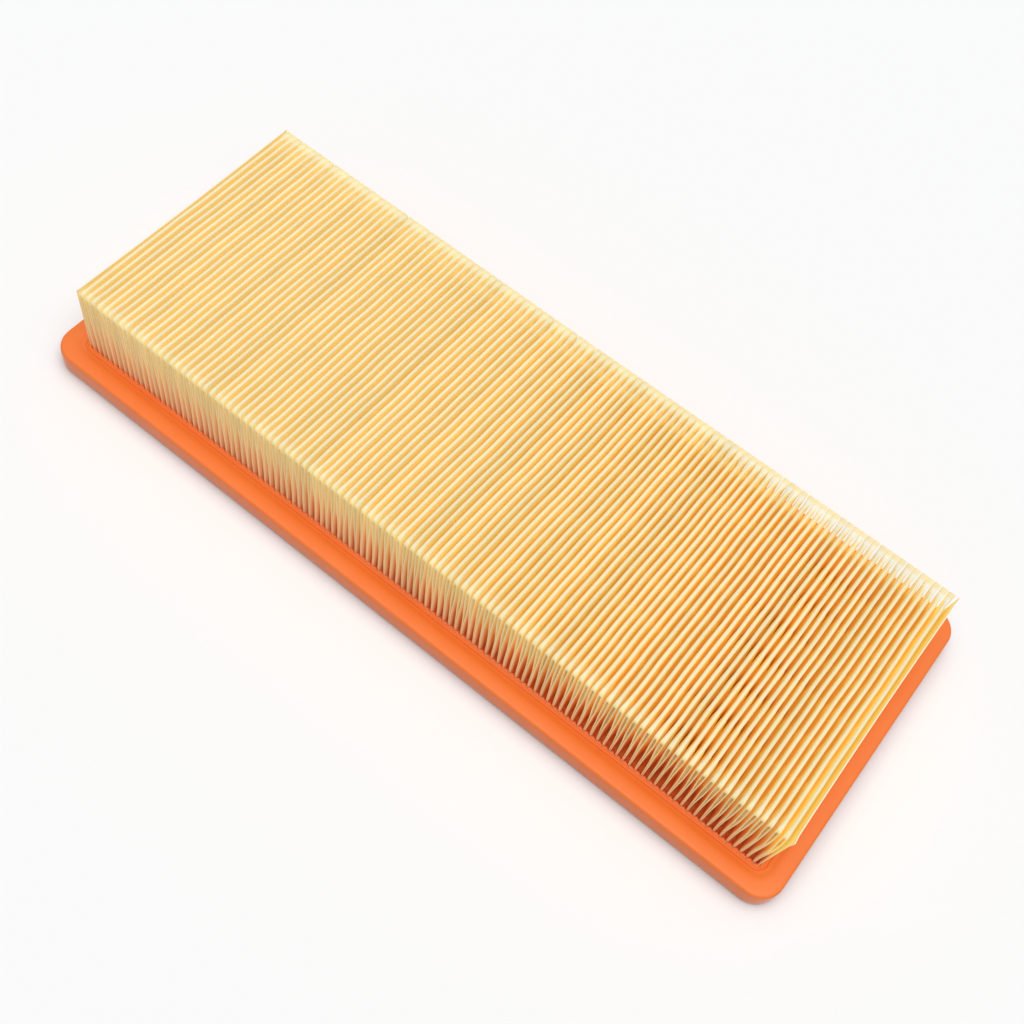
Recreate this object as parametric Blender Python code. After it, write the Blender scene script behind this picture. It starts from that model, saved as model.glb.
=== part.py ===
"""Panel air filter: a pleated paper pack standing in a moulded polyurethane sealing frame.

The frame lies flat on its underside, with the origin at the centre of that face. X runs along
the length, Y along the pleat folds and Z up, towards the dusty side where the ridges stand.
"""

import math

import bmesh
import bpy

MM = 0.001

# Sealing frame, moulded in soft polyurethane
FRAME_LENGTH = 280.0 * MM
FRAME_WIDTH = 115.0 * MM
REAR_EXTRA = 4.0 * MM  # by which the sealing band is wider along the rear side
LEDGE_THICKNESS = 3.6 * MM  # floor of the pocket that the pack stands in
POCKET_DEPTH = 4.4 * MM  # from the top of the sealing band down to the pocket floor
CORNER_RADIUS = 8.0 * MM
TOP_EDGE_ROUND = 1.2 * MM
BOTTOM_EDGE_ROUND = 0.6 * MM
BAND_WIDTH = 3.4 * MM  # flat top of the sealing band, inside the rounded edge
SLOPE_WIDTH = 1.3 * MM  # fall from the band to the inner shelf
SHELF_DROP = 0.6 * MM
SHELF_WIDTH = 0.9 * MM
GROOVE_WIDTH = 0.9 * MM  # narrow moat round the lip
GROOVE_DEPTH = 0.9 * MM
LIP_WIDTH = 0.9 * MM  # thin wall that hugs the foot of the pleats
LIP_RISE = 1.1 * MM  # lip top above the floor of the groove
LEDGE_WIDTH = 5.0 * MM
WINDOW_CHAMFER = 0.5 * MM

# Pleated paper
PLEAT_DEPTH = 30.7 * MM
PAPER = 0.42 * MM
FOLD_INNER_RADIUS = 0.22 * MM
PLEAT_GAP = 1.03 * MM  # clear gap between neighbouring ridges, on which the pleat count depends
PINCH_LENGTH = 8.0 * MM  # run over which a ridge closes towards its glued end
START_FLAP_LEAN = 0.6 * MM  # how far the free end flaps lean out at their tops
END_FLAP_LEAN = 2.6 * MM
RIDGE_LEAN_SHARE = 0.6  # lean of the last ridge, as a share of its flap's
LEAN_POWER = 6  # how quickly the lean dies away towards the middle of the pack
FLAP_HOLD = 0.4 * MM  # upright part of a flap above the frame

# Hot-melt edge seals
GLUE_LINE = 0.30 * MM  # gap left between the two sheets of a pinched ridge
SEAL_RISE = 29.0 * MM  # how far the glue reaches up inside a ridge, almost to its fold
SEAL_WIDTH = 4.0 * MM
SEAL_SETBACK = 0.3 * MM  # from the cut edge of the paper
SEAL_FILM = 0.5 * MM  # film under the valley folds

# Clearances
POCKET_GAP = 0.30 * MM  # pack to lip
SEAT_GAP = 0.10 * MM  # film to ledge, and paper to film
GLUE_GAP = 0.05 * MM  # glue to the paper on either side

# Fineness of the round forms
CORNER_STEPS = 8
EDGE_STEPS = 3

# Sizes that follow from the ones above
FRAME_HEIGHT = LEDGE_THICKNESS + POCKET_DEPTH
SHELF_HEIGHT = FRAME_HEIGHT - SHELF_DROP
GROOVE_HEIGHT = SHELF_HEIGHT - GROOVE_DEPTH
LIP_HEIGHT = GROOVE_HEIGHT + LIP_RISE
RIM_WIDTH = TOP_EDGE_ROUND + BAND_WIDTH + SLOPE_WIDTH + SHELF_WIDTH + GROOVE_WIDTH + LIP_WIDTH
POCKET_CORNER = 2 * POCKET_GAP
FOLD_RADIUS = FOLD_INNER_RADIUS + PAPER
PACK_LENGTH = FRAME_LENGTH - 2 * (RIM_WIDTH + POCKET_GAP)
PACK_WIDTH = FRAME_WIDTH - REAR_EXTRA - 2 * (RIM_WIDTH + POCKET_GAP)
PACK_Y = -REAR_EXTRA / 2  # the wider band puts the pack nearer to the front
VALLEY_SPAN = PACK_LENGTH - 2 * FOLD_RADIUS
PLEAT_COUNT = round(VALLEY_SPAN / (2 * FOLD_RADIUS + PLEAT_GAP))
PITCH = VALLEY_SPAN / PLEAT_COUNT
FILM_BOTTOM = LEDGE_THICKNESS + SEAT_GAP
FILM_TOP = FILM_BOTTOM + SEAL_FILM
FOOT = FILM_TOP + SEAT_GAP
CREST = FOOT + PLEAT_DEPTH
FOLD_ANGLE = math.radians(60)  # a fold is three flats round half a turn
FOLD_RISE = FOLD_RADIUS * math.sin(FOLD_ANGLE)
FOLD_FLAT = FOLD_RADIUS * math.cos(FOLD_ANGLE)  # half the width of its middle flat
FLAP_KNEE = max(FRAME_HEIGHT, LIP_HEIGHT) + FLAP_HOLD


def clear_scene():
    """Remove every object, so that the script can be run again in an open file."""
    for thing in list(bpy.data.objects):
        bpy.data.objects.remove(thing, do_unlink=True)


def finish(name, bm, parent, colour, roughness, smooth_below=0.0):
    """Turn a bmesh into a named object with its own plain material."""
    bmesh.ops.recalc_face_normals(bm, faces=bm.faces)
    mesh = bpy.data.meshes.new(name)
    bm.to_mesh(mesh)
    bm.free()
    if smooth_below:
        mesh.shade_smooth()
        mesh.set_sharp_from_angle(angle=smooth_below)
    material = bpy.data.materials.new(name)
    material.use_nodes = True
    shader = material.node_tree.nodes["Principled BSDF"]
    shader.inputs["Base Color"].default_value = (*colour, 1.0)
    shader.inputs["Roughness"].default_value = roughness
    shader.inputs["Metallic"].default_value = 0.0
    mesh.materials.append(material)
    thing = bpy.data.objects.new(name, mesh)
    thing.parent = parent
    bpy.context.scene.collection.objects.link(thing)
    return thing


def arc(centre, radius, start, end):
    """Points of an arc in a section, from one angle to another in degrees."""
    turn = math.radians(end - start) / EDGE_STEPS
    angles = [math.radians(start) + turn * step for step in range(EDGE_STEPS + 1)]
    return [(centre[0] + radius * math.cos(a), centre[1] + radius * math.sin(a)) for a in angles]


def frame_section():
    """The frame's closed section as (inset from the outer edge, height) pairs."""
    band_end = TOP_EDGE_ROUND + BAND_WIDTH
    shelf_start = band_end + SLOPE_WIDTH
    groove_start = shelf_start + SHELF_WIDTH
    lip_start = groove_start + GROOVE_WIDTH
    window = RIM_WIDTH + LEDGE_WIDTH
    outer_foot = arc((BOTTOM_EDGE_ROUND, BOTTOM_EDGE_ROUND), BOTTOM_EDGE_ROUND, 270, 180)
    outer_top = arc((TOP_EDGE_ROUND, FRAME_HEIGHT - TOP_EDGE_ROUND), TOP_EDGE_ROUND, 180, 90)
    rim = [
        (band_end, FRAME_HEIGHT),
        (shelf_start, SHELF_HEIGHT),
        (groove_start, SHELF_HEIGHT),
        (groove_start + GROOVE_WIDTH / 3, GROOVE_HEIGHT),
        (lip_start, GROOVE_HEIGHT),
        (lip_start + LIP_WIDTH / 3, LIP_HEIGHT),
        (RIM_WIDTH, LIP_HEIGHT),
    ]
    pocket = [
        (RIM_WIDTH, LEDGE_THICKNESS),
        (window, LEDGE_THICKNESS),
        (window, WINDOW_CHAMFER),
        (window - WINDOW_CHAMFER, 0.0),
    ]
    return outer_foot + outer_top + rim + pocket


def rounded_ring(inset, height):
    """Points of a rounded rectangle that lies inside the frame's outer edge by the inset."""
    share = min(inset / RIM_WIDTH, 1.0)
    radius = CORNER_RADIUS + (POCKET_CORNER - CORNER_RADIUS) * share
    half_x = FRAME_LENGTH / 2 - inset - radius
    half_y = FRAME_WIDTH / 2 - inset - radius
    past_band = inset > TOP_EDGE_ROUND + BAND_WIDTH / 2
    rear_y = half_y - REAR_EXTRA if past_band else half_y
    corners = [(half_x, rear_y), (-half_x, rear_y), (-half_x, -half_y), (half_x, -half_y)]
    points = []
    for quarter, (centre_x, centre_y) in enumerate(corners):
        for step in range(CORNER_STEPS + 1):
            angle = math.radians(90) * (quarter + step / CORNER_STEPS)
            x = centre_x + radius * math.cos(angle)
            y = centre_y + radius * math.sin(angle)
            points.append((x, y, height))
    return points


def build_frame(parent):
    """The sealing frame: its section swept round a rounded rectangle."""
    bm = bmesh.new()
    rings = [[bm.verts.new(p) for p in rounded_ring(*point)] for point in frame_section()]
    for ring, following in zip(rings, rings[1:] + rings[:1]):
        for i, vertex in enumerate(ring):
            after = (i + 1) % len(ring)
            bm.faces.new((vertex, ring[after], following[after], following[i]))
    return finish("seal_frame", bm, parent, (0.92, 0.22, 0.06), 0.55, math.radians(40))


def ridge_centre(index):
    """X of a ridge at its foot."""
    return -VALLEY_SPAN / 2 + PITCH * (index + 0.5)


def crest_lean(x):
    """How far a ridge leans over at its crest: the ends of the pack fan out."""
    flap_lean = END_FLAP_LEAN if x > 0 else -START_FLAP_LEAN
    return RIDGE_LEAN_SHARE * flap_lean * (abs(x) / (PACK_LENGTH / 2)) ** LEAN_POWER


def leaned(centre, x, z):
    """A section point of a ridge, moved over with the ridge's lean at that height."""
    return x + crest_lean(centre) * (z - FILM_TOP) / (CREST - FILM_TOP), z


def flap_face(side, reach):
    """The upper points of one face of an end flap: its knee above the frame and its free edge."""
    lean = END_FLAP_LEAN if side > 0 else START_FLAP_LEAN
    x = side * (VALLEY_SPAN / 2 + reach)
    return [(x, FLAP_KNEE), (x + side * lean, CREST)]


def dusty_ridge(centre, spread):
    """The dusty face of one ridge, between the bottoms of the valleys on its two sides."""
    points = [
        (-spread, FOOT + PAPER),
        (-FOLD_RADIUS, CREST - FOLD_RISE),
        (-FOLD_FLAT, CREST),
        (FOLD_FLAT, CREST),
        (FOLD_RADIUS, CREST - FOLD_RISE),
        (spread, FOOT + PAPER),
    ]
    return [leaned(centre, centre + x, z) for x, z in points]


def clean_ridge(centre, spread):
    """The clean face of one ridge, from the flat under one valley fold to the next."""
    inside = spread - PAPER
    corner = inside + FOLD_RADIUS - FOLD_FLAT
    points = [
        (-corner, FOOT),
        (-inside, FOOT + FOLD_RISE),
        (-FOLD_INNER_RADIUS, CREST - PAPER),
        (FOLD_INNER_RADIUS, CREST - PAPER),
        (inside, FOOT + FOLD_RISE),
        (corner, FOOT),
    ]
    return [leaned(centre, centre + x, z) for x, z in points]


def pleat_section(pinched):
    """The folded sheet's two faces as (x, z) points: the dusty side above, the clean side below.

    In a pinched section both sheets of each ridge run down close together to the foot, with
    only the glue line between them. In an open one they spread to the neighbouring folds.
    """
    spread = PAPER + GLUE_LINE / 2 if pinched else PITCH / 2 - FOLD_INNER_RADIUS
    end = VALLEY_SPAN / 2
    dusty = [(-end - FOLD_INNER_RADIUS, FOOT + PAPER)]
    clean = [(-end - FOLD_RADIUS, FOOT + FOLD_RISE), (-end - FOLD_FLAT, FOOT)]
    for index in range(PLEAT_COUNT):
        dusty += dusty_ridge(ridge_centre(index), spread)
        clean += clean_ridge(ridge_centre(index), spread)
    dusty.append((end + FOLD_INNER_RADIUS, FOOT + PAPER))
    clean += [(end + FOLD_FLAT, FOOT), (end + FOLD_RADIUS, FOOT + FOLD_RISE)]
    dusty = flap_face(-1, FOLD_INNER_RADIUS)[::-1] + dusty + flap_face(1, FOLD_INNER_RADIUS)
    clean = flap_face(-1, FOLD_RADIUS)[::-1] + clean + flap_face(1, FOLD_RADIUS)
    return dusty, clean


def cap_section(bm, dusty, clean):
    """Close a cut edge of the sheet, piece by piece along the zigzag."""
    for tip, knee, foot in ((0, 1, 2), (-1, -2, -3)):
        bm.faces.new((dusty[tip], dusty[knee], clean[knee], clean[tip]))
        bm.faces.new((dusty[knee], dusty[foot], clean[foot], clean[knee]))
    step = len(dusty_ridge(0.0, PAPER))
    for index in range(PLEAT_COUNT + 1):
        d = dusty[2 + step * index:]
        c = clean[2 + step * index:]
        bm.faces.new((d[0], d[1], c[3], c[2], c[1], c[0]))
        if index < PLEAT_COUNT:
            bm.faces.new((d[1], d[2], c[4], c[3]))
            bm.faces.new((d[2], d[3], d[4], d[5], c[5], c[4]))
            bm.faces.new((d[5], d[6], c[6], c[5]))


def build_media(parent):
    """The paper: one zigzag sheet, pinched at both ends of every ridge."""
    bm = bmesh.new()
    half = PACK_WIDTH / 2
    opened = half - PINCH_LENGTH
    rows = []
    for y, pinched in ((-half, True), (-opened, False), (opened, False), (half, True)):
        faces = pleat_section(pinched)
        rows.append([[bm.verts.new((x, PACK_Y + y, z)) for x, z in face] for face in faces])
    for (dusty, clean), (next_dusty, next_clean) in zip(rows, rows[1:]):
        for line, next_line in ((dusty, next_dusty), (clean, next_clean)):
            for i in range(len(line) - 1):
                bm.faces.new((line[i], line[i + 1], next_line[i + 1], next_line[i]))
        for tip in (0, -1):
            bm.faces.new((dusty[tip], clean[tip], next_clean[tip], next_dusty[tip]))
    cap_section(bm, *rows[0])
    cap_section(bm, *rows[-1])
    return finish("pleated_media", bm, parent, (0.87, 0.72, 0.42), 0.85)


def glue_tooth(index):
    """Corners of the glue inside one ridge: left foot, left top, right top, right foot."""
    centre = ridge_centre(index)
    rise = (SEAL_RISE - FOLD_RISE) / (PLEAT_DEPTH - PAPER - FOLD_RISE)
    foot = GLUE_LINE / 2 - GLUE_GAP
    top = foot + (FOLD_INNER_RADIUS - GLUE_LINE / 2) * rise
    tip = FOOT + SEAL_RISE
    points = [(-foot, FILM_TOP), (-top, tip), (top, tip), (foot, FILM_TOP)]
    return [leaned(centre, centre + x, z) for x, z in points]


def build_edge_seal(name, side, parent):
    """The hot melt along one cut edge: a film under the folds, with a tooth up inside each ridge."""
    bm = bmesh.new()
    near = PACK_Y + side * (PACK_WIDTH / 2 - SEAL_SETBACK)
    deep = near - side * SEAL_WIDTH
    end = VALLEY_SPAN / 2 + FOLD_RADIUS
    valleys = [-end] + [ridge_centre(i) + PITCH / 2 for i in range(PLEAT_COUNT - 1)] + [end]
    outline = [(-end, FILM_TOP)]
    for index in range(PLEAT_COUNT):
        outline += glue_tooth(index)
    outline.append((end, FILM_TOP))
    edges = []
    for y in (near, deep):
        upper = [bm.verts.new((x, y, z)) for x, z in outline]
        lower = [bm.verts.new((x, y, FILM_BOTTOM)) for x in valleys]
        for index in range(PLEAT_COUNT):
            left, tip_left, tip_right, right = upper[1 + 4 * index:][:4]
            bm.faces.new((left, tip_left, tip_right, right))
            bm.faces.new((lower[index], lower[index + 1], right, left))
            if index:
                bm.faces.new((lower[index], left, upper[4 * index]))
        bm.faces.new((lower[0], upper[1], upper[0]))
        bm.faces.new((lower[-1], upper[-1], upper[-2]))
        edges.append(upper + lower[::-1])
    for i, vertex in enumerate(edges[0]):
        after = (i + 1) % len(edges[0])
        bm.faces.new((vertex, edges[0][after], edges[1][after], edges[1][i]))
    return finish(name, bm, parent, (0.80, 0.66, 0.40), 0.45)


def main():
    """Build the filter under one empty at its reference point."""
    clear_scene()
    root = bpy.data.objects.new("air_filter", None)
    bpy.context.scene.collection.objects.link(root)
    build_frame(root)
    build_media(root)
    build_edge_seal("edge_seal_front", -1, root)
    build_edge_seal("edge_seal_rear", 1, root)


main()
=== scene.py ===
"""Looks of a panel air filter: a pleated paper pack that stands in a moulded orange frame.

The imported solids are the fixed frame, and finer meshes stand for them here. The paper gets its
embossed spacers, its glued ridge ends and its free flaps, the frame its soft moulded edges and
the bed that was cast round the pleats, and the hot melt its uneven teeth.
"""

from __future__ import annotations

import logging
import math
from dataclasses import dataclass, field
from enum import Enum
from typing import Any, Mapping, Sequence, Union

import bpy
import numpy as np
from mathutils import Matrix, Vector


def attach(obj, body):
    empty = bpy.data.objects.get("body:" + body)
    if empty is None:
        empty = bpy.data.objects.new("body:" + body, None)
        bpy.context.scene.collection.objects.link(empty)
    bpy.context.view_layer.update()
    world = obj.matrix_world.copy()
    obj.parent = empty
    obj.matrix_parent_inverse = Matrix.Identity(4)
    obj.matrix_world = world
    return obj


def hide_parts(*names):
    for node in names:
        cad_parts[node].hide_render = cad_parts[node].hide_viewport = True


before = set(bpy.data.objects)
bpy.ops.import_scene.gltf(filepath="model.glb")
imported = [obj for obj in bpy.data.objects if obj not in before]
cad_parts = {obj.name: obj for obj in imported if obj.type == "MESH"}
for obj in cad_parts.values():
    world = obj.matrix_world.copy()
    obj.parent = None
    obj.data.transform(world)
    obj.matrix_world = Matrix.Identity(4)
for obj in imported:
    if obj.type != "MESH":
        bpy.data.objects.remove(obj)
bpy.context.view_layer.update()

LOG = logging.getLogger("air_filter")
MM = 0.001
BODY = "root"
SEED = 20

Colour = tuple[float, float, float, float]
Triple = tuple[float, float, float]
Span = tuple[float, float]


class Edge(Enum):
    """The long sides of the pack, where the paper was cut, with the sign of their Y."""

    FRONT = -1
    REAR = 1


class PackEnd(Enum):
    """The short ends of the pack, each with a free flap, with the sign of their X."""

    START = -1
    END = 1


class Socket:
    """A node's output in an expression: each operator on it adds one Math node."""

    def __init__(self, tree: Tree, output: bpy.types.NodeSocket) -> None:
        """Wrap one output of a node that is in the tree."""
        self.tree = tree
        self.output = output

    def _math(self, operation: str, first: Value, second: Value) -> Socket:
        """Add the Math node of one operator."""
        return self.tree.node("ShaderNodeMath", {"operation": operation}, {0: first, 1: second})

    def __add__(self, other: Value) -> Socket:
        """Sum of this and another value."""
        return self._math("ADD", self, other)

    def __radd__(self, other: Value) -> Socket:
        """Sum of a number and this."""
        return self._math("ADD", other, self)

    def __sub__(self, other: Value) -> Socket:
        """This less another value."""
        return self._math("SUBTRACT", self, other)

    def __rsub__(self, other: Value) -> Socket:
        """A number less this."""
        return self._math("SUBTRACT", other, self)

    def __mul__(self, other: Value) -> Socket:
        """Product of this and another value."""
        return self._math("MULTIPLY", self, other)

    def __rmul__(self, other: Value) -> Socket:
        """Product of a number and this."""
        return self._math("MULTIPLY", other, self)

    def __abs__(self) -> Socket:
        """This without its sign."""
        return self._math("ABSOLUTE", self, 0.0)

    def rise(self, low: float, high: float) -> Socket:
        """A smooth step of this value.

        Args:
            low: Value below which the step is 0.
            high: Value above which the step is 1.

        Returns:
            The step, from 0 to 1.
        """
        settings = {"interpolation_type": "SMOOTHSTEP"}
        return self.tree.node("ShaderNodeMapRange", settings, {0: self, 1: low, 2: high})

    def rise_mm(self, span: Span) -> Socket:
        """A smooth step of this length, in metres, over a span in millimetres."""
        return self.rise(span[0] * MM, span[1] * MM)

    def sibling(self, name: str) -> Socket:
        """Another output of the same node."""
        return Socket(self.tree, self.output.node.outputs[name])


Value = Union[Socket, float]


class Tree:
    """The node tree of one material or of the world."""

    def __init__(self, owner: Union[bpy.types.Material, bpy.types.World]) -> None:
        """Empty the owner's tree, ready for its own nodes."""
        owner.use_nodes = True
        self.nodes = owner.node_tree.nodes
        self.links = owner.node_tree.links
        self.nodes.clear()

    def node(
        self,
        kind: str,
        settings: Mapping[str, Any] | None = None,
        inputs: Mapping[Union[int, str], Any] | None = None,
        output: Union[int, str] = 0,
    ) -> Socket:
        """Add one node.

        Args:
            kind: The node's type.
            settings: Its properties, set before its sockets.
            inputs: A value or a Socket for each socket, by name or by place.
            output: The output that is wanted.

        Returns:
            That output.
        """
        made = self.nodes.new(kind)
        for name, value in (settings or {}).items():
            if name == "stops":
                self.set_stops(made.color_ramp, value)
            else:
                setattr(made, name, value)
        for key, value in (inputs or {}).items():
            if isinstance(value, Socket):
                self.links.new(value.output, made.inputs[key])
            else:
                made.inputs[key].default_value = value
        return Socket(self, made.outputs[output])

    @staticmethod
    def set_stops(ramp: bpy.types.ColorRamp, stops: Sequence[tuple[float, Triple]]) -> None:
        """Give a ramp its stops, each a place from 0 to 1 and a colour."""
        while len(ramp.elements) < len(stops):
            ramp.elements.new(1.0)
        for element, (place, colour) in zip(ramp.elements, stops):
            element.position = place
            element.color = (*colour, 1.0)

    def ramp(self, depth: Socket, span_mm: float, stops: Sequence[tuple[float, Triple]]) -> Socket:
        """A colour that changes with depth.

        Args:
            depth: Depth in metres.
            span_mm: Depth of the ramp's end.
            stops: A depth in millimetres and a colour for each stop.

        Returns:
            The colour.
        """
        places = [(place / span_mm, colour) for place, colour in stops]
        return self.node("ShaderNodeValToRGB", {"stops": places}, {0: depth * (1.0 / (span_mm * MM))})

    def blend(self, factor: Value, first: Any, second: Any, mode: str = "MIX") -> Socket:
        """Mix two colours.

        Args:
            factor: Share of the second colour.
            first: A colour or a colour Socket.
            second: A colour or a colour Socket.
            mode: Blend type of the Mix node.

        Returns:
            The mixed colour.
        """
        settings = {"data_type": "RGBA", "blend_type": mode}
        return self.node("ShaderNodeMix", settings, {0: factor, 6: first, 7: second}, 2)

    def place(self) -> Socket:
        """The point on the object, in metres in the part's frame."""
        return self.node("ShaderNodeTexCoord", output="Object")

    def noise(self, point: Socket, grain_mm: float, detail: float, stretch: Triple = (1, 1, 1)) -> Socket:
        """Noise over the object.

        Args:
            point: Where it is read.
            grain_mm: Size of its largest grains.
            detail: Number of finer layers.
            stretch: How much longer the grains are along each axis.

        Returns:
            A value about one half.
        """
        scale = tuple(1.0 / (grain_mm * MM * axis) for axis in stretch)
        scaled = self.node("ShaderNodeVectorMath", {"operation": "MULTIPLY"}, {0: point, 1: scale})
        inputs = {"Vector": scaled, "Scale": 1.0, "Detail": detail, "Roughness": 0.6}
        return self.node("ShaderNodeTexNoise", None, inputs)

    def bump(self, height: Socket, depth_mm: float, strength: float) -> Socket:
        """A normal that follows a height.

        Args:
            height: Height from 0 to 1.
            depth_mm: What a height of 1 stands for.
            strength: Share of the effect.

        Returns:
            The normal.
        """
        inputs = {"Strength": strength, "Distance": depth_mm * MM, "Height": height}
        return self.node("ShaderNodeBump", None, inputs)

    def surface(self, inputs: Mapping[str, Any]) -> None:
        """Finish a material with one Principled shader on its output."""
        shader = self.node("ShaderNodeBsdfPrincipled", None, inputs)
        self.node_output("ShaderNodeOutputMaterial", shader)

    def node_output(self, kind: str, shader: Socket) -> None:
        """Join a shader to the output node of the tree."""
        made = self.nodes.new(kind)
        self.links.new(shader.output, made.inputs["Surface"])


@dataclass(frozen=True)
class PaperFinish:
    """Resin-stiffened filter paper: cream on its folds, with painted shade that deepens it to amber towards
    the valley floors, painted light near its cut edges, and a painted glow in place of light that passes
    through it into the valleys, gaps and flaps.
    """

    crest_mm: float = 35.0
    span_mm: float = 30.0
    centre_mm: float = -2.0
    tone_name: str = "ridge_tone"
    # Base colour by depth below the crests: the paper's cream on the folds, then painted shade that darkens
    # it to amber towards the valley floors.
    painted_depth_shade: tuple[tuple[float, Triple], ...] = (
        (0.0, (0.975, 0.84, 0.535)),
        (0.4, (0.97, 0.80, 0.45)),
        (1.3, (0.94, 0.74, 0.35)),
        (3.2, (0.92, 0.64, 0.25)),
        (8.0, (0.88, 0.54, 0.17)),
        (15.0, (0.84, 0.46, 0.125)),
        (30.0, (0.74, 0.28, 0.07)),
    )
    # Painted glow: emission by depth that stands in for light passing through the paper into the valleys.
    painted_glow: tuple[tuple[float, Triple], ...] = (
        (0.0, (0.0, 0.0, 0.0)),
        (0.3, (0.08, 0.06, 0.012)),
        (1.0, (0.13, 0.105, 0.032)),
        (2.0, (0.13, 0.135, 0.042)),
        (4.0, (0.14, 0.115, 0.020)),
        (7.0, (0.15, 0.10, 0.016)),
        (11.0, (0.18, 0.115, 0.020)),
        (15.0, (0.18, 0.110, 0.018)),
        (20.0, (0.12, 0.055, 0.008)),
        (27.0, (0.05, 0.018, 0.003)),
    )
    gap_glow: tuple[tuple[float, Triple], ...] = (
        (0.0, (0.0, 0.0, 0.0)),
        (0.6, (0.115, 0.095, 0.03)),
        (2.0, (0.155, 0.145, 0.060)),
        (5.0, (0.145, 0.138, 0.054)),
        (10.0, (0.15, 0.125, 0.044)),
        (15.0, (0.16, 0.095, 0.030)),
        (19.0, (0.13, 0.036, 0.008)),
        (27.0, (0.07, 0.009, 0.001)),
    )
    rim_glow: tuple[tuple[float, Triple], ...] = (
        (0.0, (0.0, 0.0, 0.0)),
        (0.5, (0.12, 0.11, 0.045)),
        (1.5, (0.17, 0.155, 0.065)),
        (3.0, (0.12, 0.12, 0.068)),
        (10.0, (0.12, 0.12, 0.075)),
        (20.0, (0.12, 0.090, 0.055)),
        (27.0, (0.10, 0.058, 0.035)),
    )
    flap_glow: Colour = (0.26, 0.22, 0.045, 1.0)
    outside: Colour = (0.95, 0.80, 0.47, 1.0)
    outside_glow: Colour = (0.03, 0.025, 0.01, 1.0)
    edge: Colour = (0.96, 0.78, 0.42, 1.0)
    # Paler colour of the upper paper near both cut edges: painted light.
    tip: Colour = (0.95, 0.88, 0.60, 1.0)
    # Near-white for the upper paper at the rear edge, towards the END flap: painted light.
    rear_painted_light: Colour = (0.93, 0.92, 0.80, 1.0)
    fibre: Colour = (0.80, 0.62, 0.34, 1.0)
    cut_facing: Span = (0.6, 0.8)
    cut_reach: Span = (45.8, 46.4)
    edge_reach: Span = (44.8, 46.2)
    edge_share: float = 0.85
    painted_light_reach: Span = (42.8, 46.0)
    painted_light_depth: Span = (0.5, 4.0)
    rear_light_along: Span = (39.5, 43.0)
    rear_light_across: Span = (30.0, 90.0)
    rear_light_share: float = 0.8
    outside_facing: Span = (40.0, 80.0)
    outside_from: Span = (130.3, 130.8)
    fibre_grain: Span = (0.48, 0.80)
    fibre_share: float = 0.18
    plain_shade: float = 0.93
    cloud_shade: float = 0.06
    ridge_shade: float = 0.08
    gap_reach: Span = (39.5, 43.0)
    rim_reach: Span = (44.8, 46.3)
    flap_from: Span = (127.0, 130.6)
    flap_top: Span = (0.2, 1.5)
    flap_fade: Span = (10.0, 24.0)

    def material(self) -> bpy.types.Material:
        """Make the paper's material."""
        made = bpy.data.materials.new("filter_paper")
        made.cycles.emission_sampling = "NONE"
        tree = Tree(made)
        point = tree.place()
        along = tree.node("ShaderNodeSeparateXYZ", None, {0: point}, "Y")
        depth = self.crest_mm * MM - along.sibling("Z")
        reach = abs(along - self.centre_mm * MM)
        facing = tree.node("ShaderNodeNewGeometry", None, None, "Normal")
        across = tree.node("ShaderNodeSeparateXYZ", None, {0: facing}, "Y")
        cut = abs(across).rise(*self.cut_facing) * reach.rise_mm(self.cut_reach)
        tone = tree.node("ShaderNodeAttribute", {"attribute_name": self.tone_name}, None, "Fac")
        pulp = tree.noise(point, 0.5, 4.0, (1.0, 2.5, 1.0))
        cloud = tree.noise(point, 9.0, 2.0)
        grain = tree.noise(point, 0.22, 3.0)
        shallow = 1.0 - depth.rise_mm(self.painted_light_depth)
        # Painted shade: the base colour darkens with depth below the crests.
        colour = tree.ramp(depth, self.span_mm, self.painted_depth_shade)
        # Painted light: the upper few millimetres near the cut edges are made paler.
        colour = tree.blend(reach.rise_mm(self.painted_light_reach) * shallow, colour, self.tip)
        past = along.sibling("X")
        # Painted light: near-white on the upper paper at the rear edge, towards the END flap.
        pale = along.rise_mm(self.rear_light_along) * past.rise_mm(self.rear_light_across)
        colour = tree.blend(pale * shallow * self.rear_light_share, colour, self.rear_painted_light)
        trimmed = self.edge_share * reach.rise_mm(self.edge_reach)
        colour = tree.blend(1.0 - (1.0 - cut) * (1.0 - trimmed), colour, self.edge)
        turned_out = (across.sibling("X") * past).rise_mm(self.outside_facing)
        outer = turned_out * abs(past).rise_mm(self.outside_from)
        colour = tree.blend(outer, colour, self.outside)
        colour = tree.blend(pulp.rise(*self.fibre_grain) * self.fibre_share, colour, self.fibre)
        shade = self.plain_shade + cloud * self.cloud_shade + tone * self.ridge_shade
        grey = tree.node("ShaderNodeCombineXYZ", None, {0: shade, 1: shade, 2: shade})
        colour = tree.blend(1.0, colour, grey, "MULTIPLY")
        # Painted glow: emission by depth, stronger in the gaps and rims at the cut edges and on the END
        # flap's inner face, in place of light passing through the paper.
        glow = tree.ramp(depth, self.span_mm, self.painted_glow)
        gap = tree.ramp(depth, self.span_mm, self.gap_glow)
        glow = tree.blend(reach.rise_mm(self.gap_reach), glow, gap)
        rim = tree.ramp(depth, self.span_mm, self.rim_glow)
        glow = tree.blend(reach.rise_mm(self.rim_reach), glow, rim)
        inner = past.rise_mm(self.flap_from) * depth.rise_mm(self.flap_top)
        glow = tree.blend(inner * (1.0 - depth.rise_mm(self.flap_fade)), glow, self.flap_glow)
        glow = tree.blend(outer, glow, self.outside_glow)
        glow = tree.blend(1.0, glow, grey, "MULTIPLY")
        tree.surface({
            "Base Color": colour,
            "Roughness": 0.78 + pulp * 0.20,
            "Specular IOR Level": 0.25,
            "Emission Color": glow,
            "Emission Strength": 1.0,
            "Normal": tree.bump(grain, 0.05, 0.5),
        })
        return made


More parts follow.
